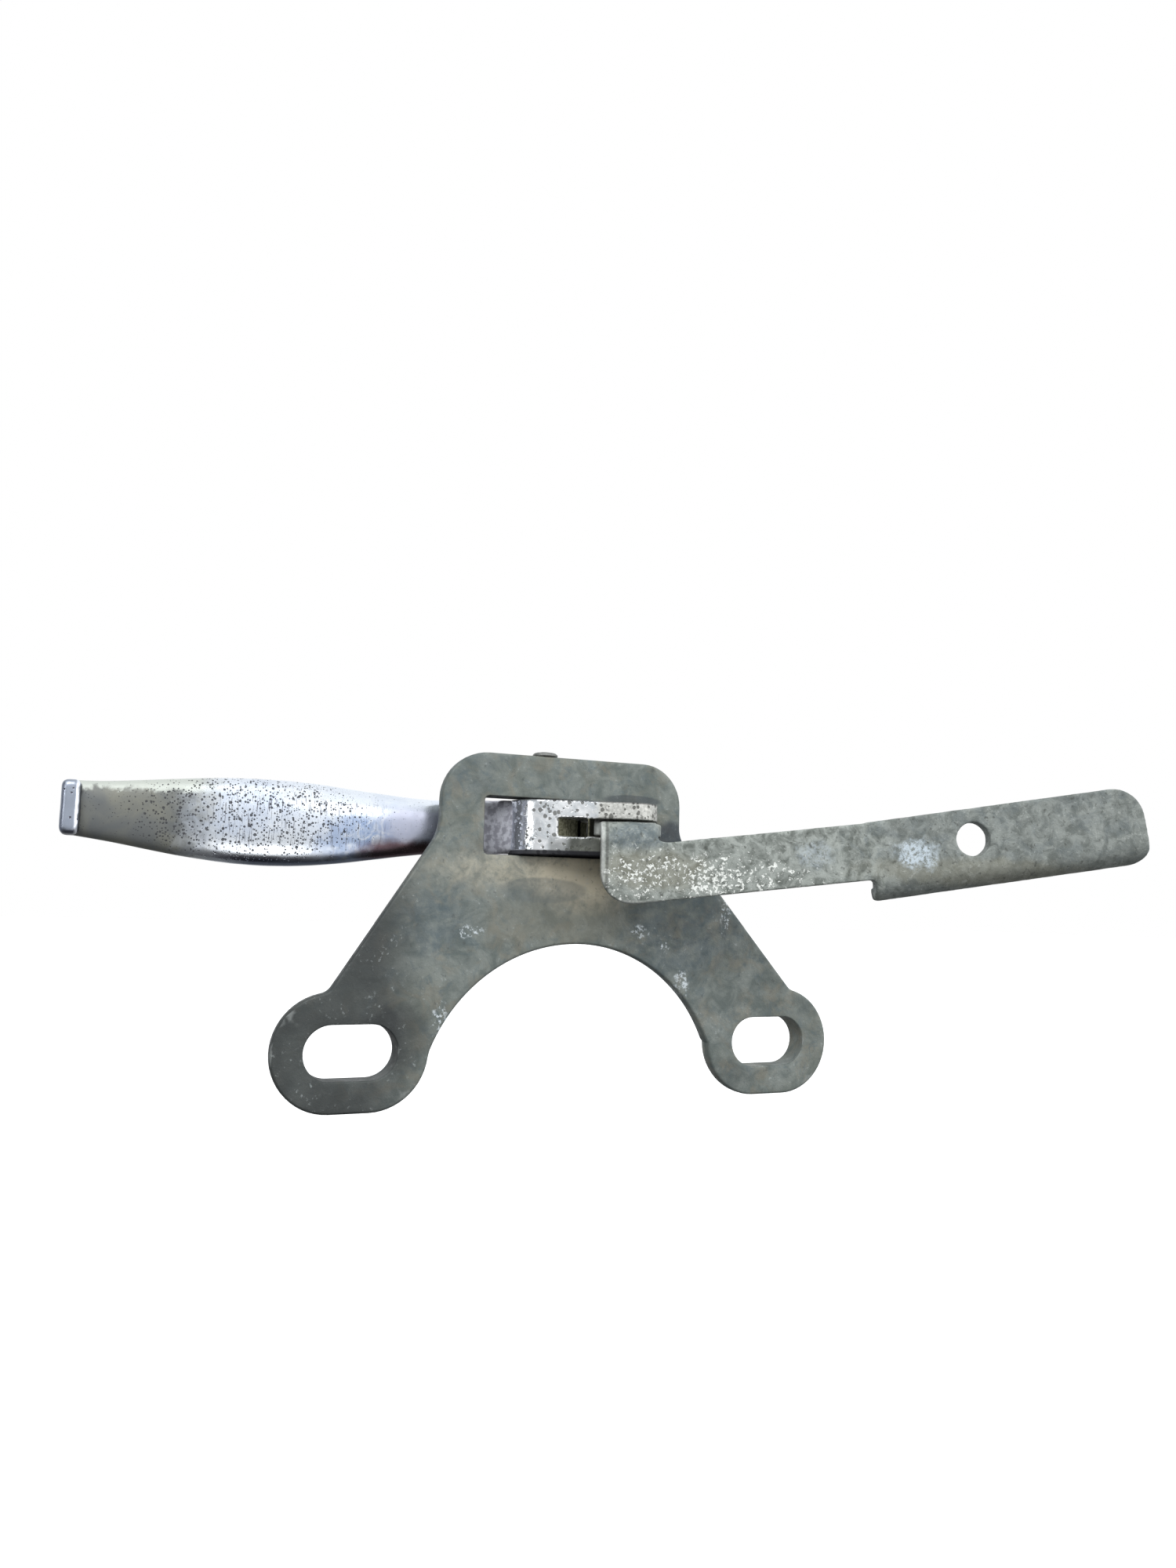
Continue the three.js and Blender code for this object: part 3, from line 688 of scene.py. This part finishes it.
def link_zinc():
    """The same plating, lighter, with crusts of white oxide along the heel and the arm. Painted light
    brightens the leg's left edge, its bottom edge and the tongue; painted shade darkens the leg's top
    bend, the crease by its left edge and the blade's lower bend.
    """
    s = Surface("link_zinc", 0.3)
    along = s.along_link()
    streaks = s.noise(4.5, 4, 0.6, bend=1.2)
    patch = s.noise(2.0, 6, 0.65, bend=0.6)
    grain = s.noise(0.55, 4, 0.7)
    fine = s.noise(0.2, 2)
    colour = s.mix(s.step(patch, 0.32, 0.66), (0.125, 0.14, 0.125), (0.33, 0.355, 0.33))
    blue = s.times(s.step(along, 34, 40), s.step(streaks, 0.45, 0.65, 0.45))
    # The blob by the tongue is painted shade: a bluish dark patch where the leg's top bends back.
    blue = s.add(blue, s.blob(1.5, 11.8, 5, 2.6, strength=0.75, along=along))
    colour = s.mix(s.times(blue, s.step(grain, 0.2, 0.6)), colour, (0.10, 0.13, 0.145))
    colour = s.mix(s.step(along, 42, 47, 0.4), colour, (0.13, 0.145, 0.14))
    tan = s.add(s.blob(4, 6, 9, 3.4, strength=0.45, along=along),
                s.blob(62, 7.0, 20, 2.4, strength=0.4, along=along))
    colour = s.mix(tan, colour, (0.235, 0.225, 0.165))
    sparse = s.times(s.step(along, 46, 20), s.step(s.z, 11.5, 8.5, 0.3))
    crust = s.add(s.blob(10, 5.2, 17, 2.8, edge=1.1, ragged=0.35, along=along), sparse)
    clumps = s.times(s.math("SUBTRACT", s.noise(3.0, 2), 0.5), 0.28)
    lump = s.add(s.noise(0.66, 4, 0.68, bend=0.3), clumps)
    specks = s.step(s.add(lump, s.times(crust, 0.072)), 0.61, 0.66)
    specks = s.times(specks, s.step(crust, 0.02, 0.4, 0.95, 0.12))
    colour = s.mix(specks, colour, (0.80, 0.82, 0.78))
    white = s.blob(50.3, 9.8, 3.6, 2.2, edge=0.9, ragged=1.0, strength=0.85, size=1.8, along=along)
    colour = s.mix(s.times(white, s.step(grain, 0.35, 0.58)), colour, (0.56, 0.64, 0.70))
    pale = s.blob(32, 9.3, 3.0, 2.2, edge=0.9, ragged=1.0, strength=0.5, size=1.8, along=along)
    colour = s.mix(s.times(pale, s.step(grain, 0.35, 0.58)), colour, (0.46, 0.52, 0.56))
    dark = s.times(s.step(s.noise(0.9, 4), 0.60, 0.70), 0.65)
    colour = s.mix(dark, colour, (0.06, 0.065, 0.055))
    # Painted light: lighter along the leg's left edge and the link's bottom edge, and on the tongue,
    # which lies in shade inside the slot.
    rim = s.math("MAXIMUM", s.step(along, -4.1, -4.5, 0.75), s.step(s.z, 0.9, 0.3, 0.6))
    colour = s.mix(rim, colour, s.mix(s.step(grain, 0.3, 0.7), (0.32, 0.335, 0.32), (0.55, 0.56, 0.53)))
    # Painted light: the tongue's side is painted near white, as if lit.
    side = s.times(s.step(along, -4.6, -5.0), s.step(s.z, 10.5, 11.5))
    colour = s.mix(s.times(side, 0.8), colour, (0.80, 0.83, 0.80))
    # Painted shade: a dark line in the crease beside the leg's left edge.
    groove_shade = s.times(s.step(along, -4.25, -4.0, 0.55), s.step(along, -3.5, -3.8))
    colour = s.mix(groove_shade, colour, (0.05, 0.05, 0.045))
    # Painted shade: the blade's lower zone, where it bends back, is painted darker.
    slope = s.math("SUBTRACT", s.z, s.times(along, math.tan(BLADE_RISE)))
    bend = s.times(s.step(slope, -2.4, -4.8, 0.1), s.step(along, 42.0, 42.6))
    colour = s.mix(bend, colour, (0.07, 0.075, 0.065))
    colour = s.mix(s.times(s.worn_edges(), 0.35), colour, (0.40, 0.42, 0.40))
    rough = s.step(patch, 0.3, 0.7, 0.5, 0.7)
    height = s.add(s.times(grain, 0.6), s.add(s.times(specks, 0.5), s.times(patch, 0.7)))
    s.bump(s.add(height, s.times(fine, 0.2)), 0.12)
    return s.finish(colour, rough)


def pits(s, size, most, spread):
    """Round corrosion pits of mixed size; spread says where they are many."""
    bent = s.tree.nodes.new("ShaderNodeVectorMath")
    bent.operation = "ADD"
    s.tree.links.new(s.place, bent.inputs[0])
    jitter = s.tree.nodes.new("ShaderNodeTexNoise")
    s.tree.links.new(s.place, jitter.inputs["Vector"])
    jitter.inputs["Scale"].default_value = 1 / (size * 0.7)
    s.tree.links.new(s.scaled_vector(jitter.outputs["Color"], size * 0.35), bent.inputs[1])
    away = s.cells(size, place=bent.outputs["Vector"])
    cell = s.tree.nodes.new("ShaderNodeSeparateColor")
    s.tree.links.new(s.cells(size, "Color", place=bent.outputs["Vector"]), cell.inputs[0])
    reach = s.times(s.times(cell.outputs[0], most), spread)
    return s.step(s.math("SUBTRACT", reach, away), -0.02, 0.06)


def lever_chrome():
    """Worn chrome: bright and bluish, peppered with dark pits and fine upright scratches. Painted
    reflections: dark brown towards the tip, bluish, violet and dark red patches, and a pale top edge
    near the tip; painted shade along the underside.
    """
    s = Surface("lever_chrome", 1.0)
    cloud = s.noise(7, 4, 0.55, bend=0.6)
    wisp = s.noise(2.2, 5, 0.6, bend=0.8)
    grain = s.noise(0.5, 4, 0.6)
    colour = s.mix(s.step(cloud, 0.3, 0.7), (0.64, 0.69, 0.77), (0.78, 0.82, 0.87))
    # Painted reflection: bluish patches of sky mirrored in the grip.
    sky = s.add(s.blob(-38, 9.5, 7, 5, strength=0.75), s.blob(-57, 14, 9, 4, strength=0.3))
    sky = s.add(sky, s.blob(-32, 11.5, 6, 5, edge=1.2, strength=0.35))
    colour = s.mix(s.times(sky, s.step(wisp, 0.3, 0.6)), colour, (0.32, 0.42, 0.62))
    # Painted reflection: a violet tint high on the grip towards the neck.
    violet = s.times(s.step(s.x, -38, -31, 0.8), s.step(s.z, 16.5, 14.5))
    colour = s.mix(violet, colour, (0.42, 0.43, 0.53))
    # Painted reflection: the tip end of the grip mirrors a dark brown surrounding, up to a wavy edge;
    # it is also made less metallic and rougher there.
    wavy_x = s.add(s.x, s.times(s.math("SUBTRACT", wisp, 0.5), 9))
    brown_reflection = s.step(wavy_x, -59, -69, 0.93)
    brown = s.mix(s.step(cloud, 0.35, 0.65), (0.075, 0.08, 0.075), (0.13, 0.128, 0.095))
    colour = s.mix(brown_reflection, colour, brown)
    # Painted reflection: a pale edge along the top near the tip, where the chrome faces the bright
    # ceiling.
    top = s.add(s.z, s.times(s.math("SUBTRACT", wisp, 0.5), 3.0))
    pale = s.times(s.step(top, 15.8, 16.8, 0.8), s.step(wavy_x, -60, -67))
    colour = s.mix(pale, colour, (0.55, 0.58, 0.53))
    lines = s.noise(0.4, 2, 0.5, s.stretched(1.7, 1.0, 0.12))
    scratch = s.times(s.step(lines, 0.57, 0.64), s.blob(-49, 13, 15, 5, strength=0.75))
    colour = s.mix(scratch, colour, (0.14, 0.14, 0.16))
    many = s.math("MAXIMUM", s.blob(-56, 13.0, 20, 8, edge=0.8, ragged=0.2), 0.35)
    spots = s.math("MAXIMUM", pits(s, 0.4, 0.52, many), pits(s, 0.85, 0.34, many))
    colour = s.mix(s.times(spots, 0.85), colour, (0.045, 0.045, 0.05))
    # Painted reflection: a dark red patch low on the grip.
    red = s.blob(-30, 7.4, 9, 2.7, edge=0.6, ragged=0.3, strength=0.93)
    colour = s.mix(red, colour, (0.10, 0.055, 0.06))
    grip_start = -84.6
    grip_length = 66
    belly_drop = -2.5
    turn = s.times(s.math("SUBTRACT", s.x, grip_start), math.pi / grip_length)
    middle = s.times(s.math("SINE", turn), belly_drop)
    under = s.add(s.math("SUBTRACT", s.z, middle), s.times(s.math("SUBTRACT", wisp, 0.5), 0.8))
    shade = s.times(s.step(under, 8.9, 8.2, 0.85), s.step(wavy_x, -64, -54))
    colour = s.mix(shade, colour, (0.12, 0.15, 0.22))
    neck = s.step(s.x, -19.0, -18.0)
    dented = s.mix(s.step(s.noise(1.1, 3), 0.4, 0.6), (0.42, 0.42, 0.48), (0.75, 0.76, 0.83))
    colour = s.mix(neck, colour, dented)
    colour = s.mix(s.times(neck, s.times(spots, 0.5)), colour, (0.09, 0.09, 0.10))
    metal_taken_off = s.add(s.times(neck, 0.6), s.times(brown_reflection, 0.7))
    s.tree.links.new(s.math("SUBTRACT", 1.0, metal_taken_off), s.shader.inputs["Metallic"])
    rough = s.step(cloud, 0.3, 0.7, 0.2, 0.34)
    rough = s.math("MAXIMUM", rough, s.times(spots, 0.75))
    rough = s.math("MAXIMUM", rough, s.math("MAXIMUM", s.times(neck, 0.4), s.times(brown_reflection, 0.5)))
    height = s.add(s.times(spots, -1.0), s.times(grain, 0.05))
    s.bump(s.add(height, s.times(scratch, -0.2)), 0.05)
    return s.finish(colour, rough)


def tip_chrome():
    """The lip's chrome: cleaner and bluish, with a painted highlight along its inner edge and painted
    shade on its inner side and underside.
    """
    s = Surface("tip_chrome", 1.0)
    cloud = s.noise(3, 4, 0.55, bend=0.6)
    grain = s.noise(0.4, 4, 0.6)
    colour = s.mix(s.step(cloud, 0.3, 0.7), (0.28, 0.31, 0.37), (0.34, 0.375, 0.44))
    # Painted highlight: a bright line along the edge by the lip's inner side.
    ridge_highlight = s.times(s.step(s.x, -82.75, -82.5), s.step(s.x, -82.0, -82.3))
    colour = s.mix(ridge_highlight, colour, (0.80, 0.83, 0.90))
    # Painted shade on the lip's inner side and along its underside.
    inner_side_shade = s.step(s.add(s.x, s.times(cloud, 0.5)), -82.0, -81.7)
    lip_shade = s.math("MAXIMUM", inner_side_shade, s.step(s.z, 9.2, 8.7))
    colour = s.mix(s.times(lip_shade, 0.8), colour, (0.06, 0.06, 0.07))
    spots = pits(s, 1.2, 0.22, 1.0)
    colour = s.mix(spots, colour, (0.10, 0.10, 0.12))
    s.bump(s.add(s.times(spots, -0.8), s.times(grain, 0.1)), 0.05)
    return s.finish(colour, s.step(cloud, 0.3, 0.7, 0.3, 0.42))


def fork_chrome():
    """Chrome worn through to a matte, spotted grey towards the nose, dark and oily in the slot. Painted
    shade darkens its bottom and top edges, a painted shadow blackens the back of the pocket, and
    painted reflections tint the knuckle's left edge and the lower prong.
    """
    s = Surface("fork_chrome", 0.85)
    cloud = s.noise(2.4, 4, 0.6, bend=0.6)
    grain = s.noise(0.5, 4, 0.65)
    bright = s.mix(s.step(cloud, 0.3, 0.7), (0.56, 0.59, 0.61), (0.80, 0.81, 0.82))
    matte = s.mix(s.step(grain, 0.35, 0.65), (0.38, 0.38, 0.355), (0.56, 0.56, 0.53))
    nose = s.step(s.add(s.x, s.times(cloud, 4)), 1.0, 3.5)
    colour = s.mix(nose, bright, matte)
    flecks = s.step(s.noise(0.9, 4), 0.62, 0.70, 0.7)
    spots = s.math("MAXIMUM", pits(s, 0.8, 0.55, 1.0), flecks)
    colour = s.mix(s.times(spots, 0.8), colour, (0.10, 0.10, 0.09))
    # Painted reflection: the lower prong is painted dark olive, as the dark part of its reflection.
    slant = s.add(s.z, s.times(s.math("SUBTRACT", cloud, 0.5), 3.0))
    low = s.times(s.step(slant, LEVER_MID - 1.5, LEVER_MID - 2.1), s.step(s.x, -5.2, -3.5, 0.92))
    olive = s.mix(s.step(cloud, 0.4, 0.65), (0.035, 0.038, 0.027), (0.12, 0.125, 0.10))
    colour = s.mix(low, colour, olive)
    shade = s.times(s.step(s.z, LEVER_MID - 0.5, LEVER_MID - 3.5, 0.6), s.step(s.x, -8.0, -7.0))
    colour = s.mix(shade, colour, (0.12, 0.125, 0.11))
    # Painted shade: the fork's bottom rim, and more faintly its top rim, are painted near black; the
    # bottom also loses its shine.
    bottom = s.step(s.z, FORK_LOW + 1.0, FORK_LOW + 0.7)
    rim_shade = s.math("MAXIMUM", bottom, s.step(s.z, LEVER_HIGH - 0.45, LEVER_HIGH - 0.2, 0.7))
    # Painted reflection: a bright bluish band down the knuckle's left edge.
    reflection_band = s.times(s.step(s.x, -11.1, -11.6), 0.8)
    colour = s.mix(reflection_band, colour, (0.80, 0.84, 0.95))
    colour = s.mix(s.times(rim_shade, 0.95), colour, (0.02, 0.02, 0.024))
    level = s.math("ABSOLUTE", s.math("SUBTRACT", s.z, LEVER_MID))
    inside = s.times(s.step(level, SLOT_HALF + 0.12, SLOT_HALF - 0.1), s.step(s.x, -6.1, -5.7))
    oil = s.mix(s.step(grain, 0.4, 0.6), (0.07, 0.07, 0.045), (0.16, 0.155, 0.11))
    colour = s.mix(inside, colour, oil)
    # Painted shadow: the back of the pocket in the slot is painted black.
    pocket_shadow = s.times(inside, s.times(s.step(s.x, -0.9, -0.5), s.step(s.x, 1.6, 1.2)))
    colour = s.mix(pocket_shadow, colour, (0.006, 0.006, 0.005))
    bare = s.math("SUBTRACT", 1.0, s.math("MAXIMUM", bottom, inside))
    s.tree.links.new(s.times(bare, 0.85), s.shader.inputs["Metallic"])
    s.tree.links.new(s.times(bare, 0.5), s.shader.inputs["Specular IOR Level"])
    rough = s.step(nose, 0, 1, 0.55, 0.2)
    rough = s.math("MAXIMUM", rough, s.math("MAXIMUM", s.times(spots, 0.7), s.times(inside, 0.65)))
    rough = s.math("MAXIMUM", rough, s.times(bottom, 0.95))
    s.bump(s.add(s.times(spots, -0.8), s.times(grain, 0.15)), 0.05)
    return s.finish(colour, rough)


def pin_steel():
    """Dull riveted steel, patchy dark and light, paler along its worn edges."""
    s = Surface("pin_steel", 0.55)
    patch = s.noise(1.2, 4, 0.6)
    grain = s.noise(0.3, 3)
    colour = s.mix(s.step(patch, 0.3, 0.7), (0.11, 0.115, 0.11), (0.22, 0.225, 0.21))
    colour = s.mix(s.times(s.worn_edges(), 0.5), colour, (0.36, 0.37, 0.36))
    s.bump(s.add(s.times(patch, 0.6), s.times(grain, 0.4)), 0.05)
    return s.finish(colour, s.step(patch, 0.3, 0.7, 0.4, 0.65))


# ---- camera, lights and floor ----
def camera():
    data = bpy.data.cameras.new("camera")
    data.sensor_width = 36
    data.lens = 26.1
    data.clip_start = 0.005
    data.clip_end = 30
    obj = bpy.data.objects.new("camera", data)
    obj.location = (-0.0785, -0.1919, -0.0007)
    obj.rotation_euler = [math.radians(d) for d in (96.2, -1.31, -23.21)]
    bpy.context.scene.collection.objects.link(obj)
    bpy.context.scene.camera = obj


def area(name, place, target, size, power_w, colour=(1, 1, 1)):
    data = bpy.data.lights.new(name, "AREA")
    data.shape = "RECTANGLE"
    data.size, data.size_y = size
    data.energy = power_w
    data.color = colour
    obj = bpy.data.objects.new(name, data)
    obj.location = place
    obj.rotation_euler = (Vector(target) - Vector(place)).to_track_quat("-Z", "Y").to_euler()
    bpy.context.scene.collection.objects.link(obj)


def sheet_object(name, corners, material):
    mesh = bpy.data.meshes.new(name)
    mesh.from_pydata(corners, [], [(0, 1, 2, 3)])
    mesh.materials.append(material)
    obj = bpy.data.objects.new(name, mesh)
    bpy.context.scene.collection.objects.link(obj)
    return obj


def reflector(name, place, target, size, colour):
    """A studio card that only shows in glossy surfaces."""
    material = bpy.data.materials.new(name)
    material.use_nodes = True
    tree = material.node_tree
    tree.nodes.clear()
    glow = tree.nodes.new("ShaderNodeEmission")
    glow.inputs["Color"].default_value = (*colour, 1)
    out = tree.nodes.new("ShaderNodeOutputMaterial")
    tree.links.new(glow.outputs[0], out.inputs["Surface"])
    turn = (Vector(target) - Vector(place)).to_track_quat("-Z", "Y")
    half_wide, half_tall = size[0] / 2, size[1] / 2
    corners = [Vector(place) + turn @ Vector((x * half_wide, y * half_tall, 0))
               for x, y in ((-1, -1), (1, -1), (1, 1), (-1, 1))]
    obj = sheet_object(name, corners, material)
    obj.visible_camera = False
    obj.visible_diffuse = False
    obj.visible_shadow = False
    obj.visible_transmission = False


def soft_world():
    """White to the camera; for lighting, a soft dome that is darker below and to the left."""
    world = bpy.data.worlds.new("world")
    bpy.context.scene.world = world
    world.use_nodes = True
    tree = world.node_tree
    tree.nodes.clear()
    way = tree.nodes.new("ShaderNodeTexCoord").outputs["Generated"]
    split = tree.nodes.new("ShaderNodeSeparateXYZ")
    tree.links.new(way, split.inputs[0])
    rise = tree.nodes.new("ShaderNodeMapRange")
    rise.interpolation_type = "SMOOTHSTEP"
    tree.links.new(split.outputs["Z"], rise.inputs["Value"])
    for socket, value in (("From Min", -0.75), ("From Max", 0.35), ("To Min", 0.22), ("To Max", 1.15)):
        rise.inputs[socket].default_value = value
    across = tree.nodes.new("ShaderNodeMapRange")
    across.interpolation_type = "SMOOTHSTEP"
    tree.links.new(split.outputs["X"], across.inputs["Value"])
    for socket, value in (("From Min", -1.0), ("From Max", 0.2), ("To Min", 0.7), ("To Max", 1.0)):
        across.inputs[socket].default_value = value
    joined = tree.nodes.new("ShaderNodeMath")
    joined.operation = "MULTIPLY"
    tree.links.new(rise.outputs["Result"], joined.inputs[0])
    tree.links.new(across.outputs["Result"], joined.inputs[1])
    dome = tree.nodes.new("ShaderNodeBackground")
    dome.inputs["Color"].default_value = (0.96, 0.98, 1.0, 1)
    tree.links.new(joined.outputs[0], dome.inputs["Strength"])
    plain = tree.nodes.new("ShaderNodeBackground")
    plain.inputs["Color"].default_value = (1, 1, 1, 1)
    plain.inputs["Strength"].default_value = 1.0
    seen = tree.nodes.new("ShaderNodeLightPath").outputs["Is Camera Ray"]
    choose = tree.nodes.new("ShaderNodeMixShader")
    tree.links.new(seen, choose.inputs[0])
    tree.links.new(dome.outputs[0], choose.inputs[1])
    tree.links.new(plain.outputs[0], choose.inputs[2])
    out = tree.nodes.new("ShaderNodeOutputWorld")
    tree.links.new(choose.outputs[0], out.inputs["Surface"])


def pale_floor():
    """A plain white sheet well below the latch, which lights nothing but takes its shadow."""
    paint = bpy.data.materials.new("floor")
    paint.use_nodes = True
    shader = paint.node_tree.nodes["Principled BSDF"]
    shader.inputs["Base Color"].default_value = (0.95, 0.95, 0.94, 1)
    shader.inputs["Roughness"].default_value = 0.9
    shader.inputs["Emission Color"].default_value = (1, 1, 1, 1)
    shader.inputs["Emission Strength"].default_value = 0.4
    wide, drop = 12, -0.22
    floor = sheet_object("floor", [(-wide, -wide, drop), (wide, -wide, drop), (wide, wide, drop),
                                   (-wide, wide, drop)], paint)
    floor.visible_diffuse = False
    floor.visible_glossy = False


def studio():
    camera()
    soft_world()
    pale_floor()
    bpy.context.scene.view_settings.view_transform = "Standard"
    area("key", (-0.3, -0.55, 0.5), (0, 0, 0), (0.4, 0.4), power_w=3.4, colour=(0.97, 0.985, 1.0))
    area("fill", (0.6, -0.5, 0.2), (0, 0, 0), (0.5, 0.5), power_w=2.0)
    reflector("card_left", (-0.36, 0.0, 0.02), (0, 0, 0.01), (0.2, 0.4), (0.13, 0.14, 0.19))
    reflector("card_high", (0.04, -0.3, 0.11), (-0.05, 0, 0.01), (0.07, 0.06), (3.0, 3.0, 3.0))
    reflector("card_under", (-0.008, -0.26, -0.13), (-0.05, 0, 0.01), (0.09, 0.12), (2.4, 2.4, 2.4))
    reflector("card_spot", (-0.377, -0.137, 0.048), (-0.01, -0.007, 0.014), (0.2, 0.02),
              (10.0, 10.0, 10.0))
    reflector("card_low", (-0.05, -0.06, -0.16), (-0.05, 0.02, 0.01), (0.34, 0.16),
              (0.03, 0.028, 0.035))


# ---- assembly ----
def place_piece(obj, body, node, material):
    obj.data.materials.clear()
    obj.data.materials.append(material)
    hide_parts(node)
    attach(obj, body)


studio()
plating = plate_zinc()
crusted = link_zinc()
chrome = lever_chrome()
worn_chrome = fork_chrome()
steel = pin_steel()

place_piece(plate_piece(), "plate", "mounting_plate", plating)
place_piece(pivot_piece(), "plate", "pivot_pin", steel)
place_piece(handle_piece(), "lever", "hand_lever", chrome)
place_piece(tip_piece(), "lever", "hand_lever", tip_chrome())
place_piece(fork_piece(), "lever", "hand_lever", worn_chrome)
place_piece(link_pin_piece(), "lever", "link_pin", steel)
place_piece(link_piece(), "link", "draw_link", crusted)

# The CAD's own pieces wear the same materials.
for name, material in (("mounting_plate", plating), ("draw_link", crusted), ("pivot_pin", steel),
                       ("link_pin", steel), ("hand_lever", chrome)):
    nodes[name].data.materials.clear()
    nodes[name].data.materials.append(material)
